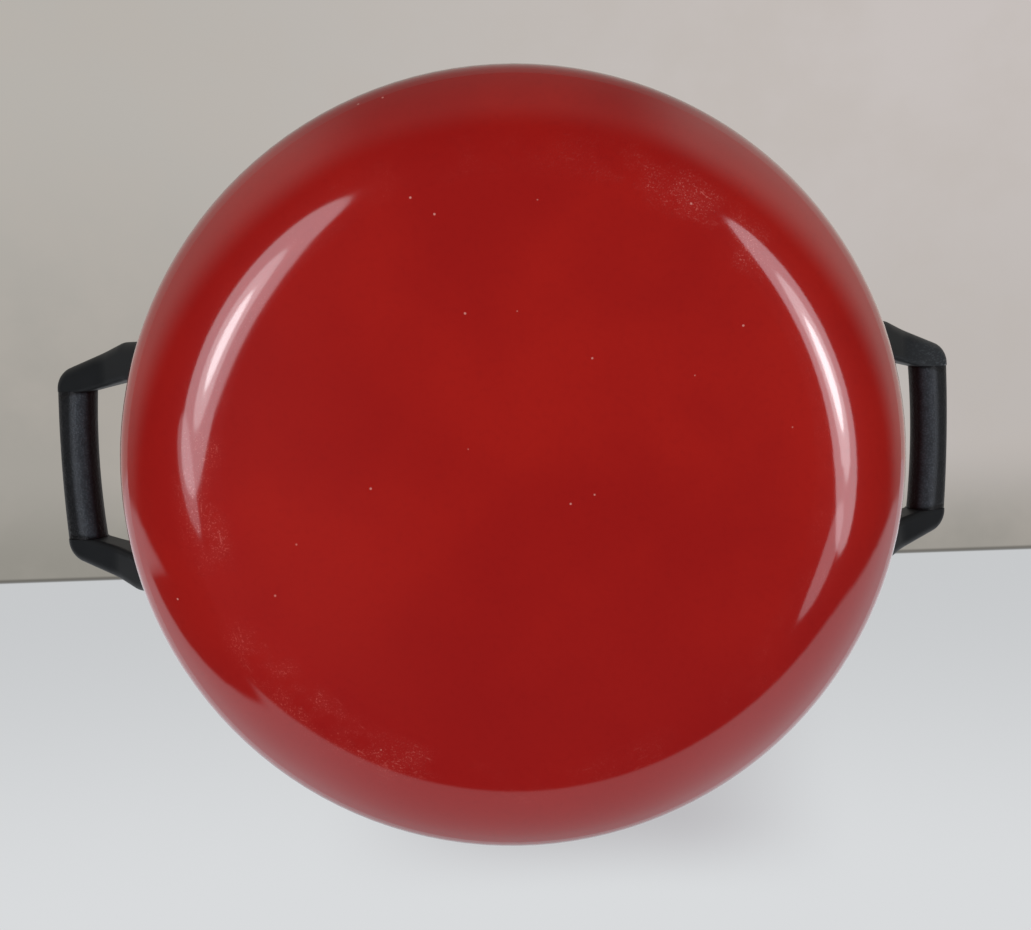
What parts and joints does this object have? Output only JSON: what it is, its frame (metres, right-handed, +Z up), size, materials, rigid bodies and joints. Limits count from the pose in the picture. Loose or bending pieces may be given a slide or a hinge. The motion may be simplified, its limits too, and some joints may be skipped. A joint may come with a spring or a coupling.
{
  "type": "cooking pot",
  "caption": "Round enamelled steel cooking pot with a flat base, rounded base edge and rolled rim, and fixed loop handles with bowed textured grips.",
  "frame": {"origin": "centre of the flat base, on the surface that the pot stands on", "axes": "+Z up along the pot's axis to the open rim, +X through the middle of a handle, +Y to the back"},
  "size_m": [0.3728, 0.285, 0.122],
  "materials": {
    "red_enamel": "glossy red enamel",
    "black_arm": "smooth satin black moulding",
    "black_grip": "fine grained black moulding",
    "steel": "plain zinc-coated steel"
  },
  "bodies": {
    "root": {"pot_body": "red_enamel", "right_grip": "black_grip", "right_core_bar": "steel", "right_front_arm": "black_arm", "right_front_bracket": "red_enamel", "right_front_screw": "steel", "right_front_washer": "steel", "right_back_arm": "black_arm", "right_back_bracket": "red_enamel", "right_back_screw": "steel", "right_back_washer": "steel", "left_grip": "black_grip", "left_core_bar": "steel", "left_front_arm": "black_arm", "left_front_bracket": "red_enamel", "left_front_screw": "steel", "left_front_washer": "steel", "left_back_arm": "black_arm", "left_back_bracket": "red_enamel", "left_back_screw": "steel", "left_back_washer": "steel"}
  },
  "joints": []
}
